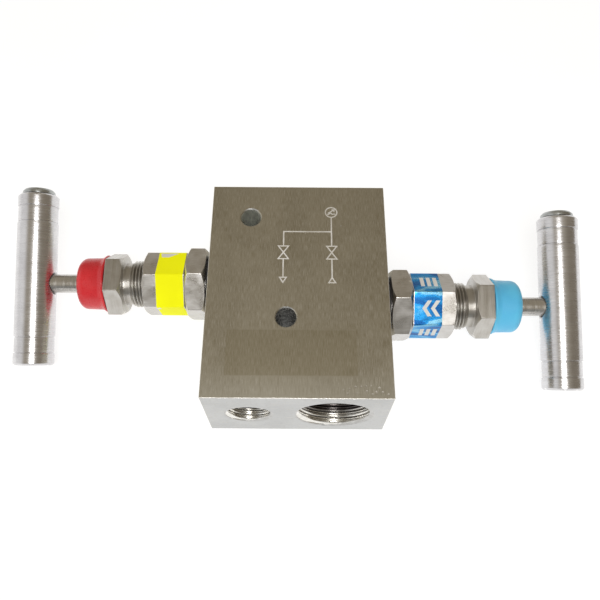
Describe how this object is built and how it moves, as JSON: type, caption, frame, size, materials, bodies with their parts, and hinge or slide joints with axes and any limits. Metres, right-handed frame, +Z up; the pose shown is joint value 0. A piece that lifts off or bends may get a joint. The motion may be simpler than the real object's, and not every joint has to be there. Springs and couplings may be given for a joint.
{
  "type": "two-valve instrument manifold",
  "caption": "Steel block-and-bleed manifold with a T-bar needle valve on each side: one isolates the gauge port, one vents it.",
  "frame": {"origin": "centre of the block's flat bottom face", "axes": "+X towards the isolation valve, +Y from the inlet and vent ports towards the gauge port, +Z up through the engraved face"},
  "size_m": [0.1807, 0.0729, 0.0323],
  "materials": {
    "block_steel": "stainless steel, linished along Y",
    "nut_steel": "stainless steel, as machined",
    "stem_steel": "stainless steel, fine turned",
    "inner_steel": "stainless steel, turned",
    "handle_steel": "stainless steel, turned and lightly polished",
    "plug_steel": "stainless steel, dull parted end",
    "screw_steel": "stainless steel, dull",
    "seal_rubber": "bonded rubber washer, matte black",
    "packing": "PTFE, waxy",
    "yellow_band": "self-adhesive film, semi-gloss",
    "blue_band": "metallised film, glossy",
    "red_cap": "soft vinyl, semi-gloss",
    "blue_cap": "soft vinyl, satin"
  },
  "bodies": {
    "root": {"block": "block_steel", "vent_bonnet_seal_ring": "seal_rubber", "vent_bonnet_lock_nut": "nut_steel", "vent_bonnet": "nut_steel", "vent_colour_band": "yellow_band", "vent_gland_bolt": "nut_steel", "vent_dust_cap": "red_cap", "vent_packing_washer": "inner_steel", "vent_packing_ring_lower": "packing", "vent_packing_ring_upper": "packing", "vent_gland_follower": "inner_steel", "isolate_bonnet_seal_ring": "seal_rubber", "isolate_bonnet_lock_nut": "nut_steel", "isolate_bonnet": "nut_steel", "isolate_colour_band": "blue_band", "isolate_gland_bolt": "nut_steel", "isolate_dust_cap": "blue_cap", "isolate_packing_washer": "inner_steel", "isolate_packing_ring_lower": "packing", "isolate_packing_ring_upper": "packing", "isolate_gland_follower": "inner_steel"},
    "vent_needle": {"vent_needle_tip": "inner_steel"},
    "vent_spindle": {"vent_stem": "stem_steel", "vent_handle_bar": "handle_steel", "vent_handle_plug": "plug_steel", "vent_handle_screw": "screw_steel"},
    "isolate_needle": {"isolate_needle_tip": "inner_steel"},
    "isolate_spindle": {"isolate_stem": "stem_steel", "isolate_handle_bar": "handle_steel", "isolate_handle_plug": "plug_steel", "isolate_handle_screw": "screw_steel"}
  },
  "joints": [
    {"name": "vent_stem_travel", "type": "slide", "parent": "root", "child": "vent_needle", "axis": [-1, 0, 0], "range_m": [-0.003, 0.0013]},
    {"name": "vent_handle_turn", "type": "hinge", "parent": "vent_needle", "child": "vent_spindle", "pos_m": [-0.0815, 0.008, 0.016], "axis": [-1, 0, 0], "range_deg": [-1080.5, 468.5]},
    {"name": "isolate_stem_travel", "type": "slide", "parent": "root", "child": "isolate_needle", "axis": [1, 0, 0], "range_m": [-0.00185, 0.00245]},
    {"name": "isolate_handle_turn", "type": "hinge", "parent": "isolate_needle", "child": "isolate_spindle", "pos_m": [0.0815, 0.0009, 0.016], "axis": [1, 0, 0], "range_deg": [-666.5, 882.5]}
  ],
  "couplings": [
    {"joint": "vent_handle_turn", "follows": "vent_stem_travel", "rad_per_m": 6283.2},
    {"joint": "isolate_handle_turn", "follows": "isolate_stem_travel", "rad_per_m": 6283.2}
  ]
}
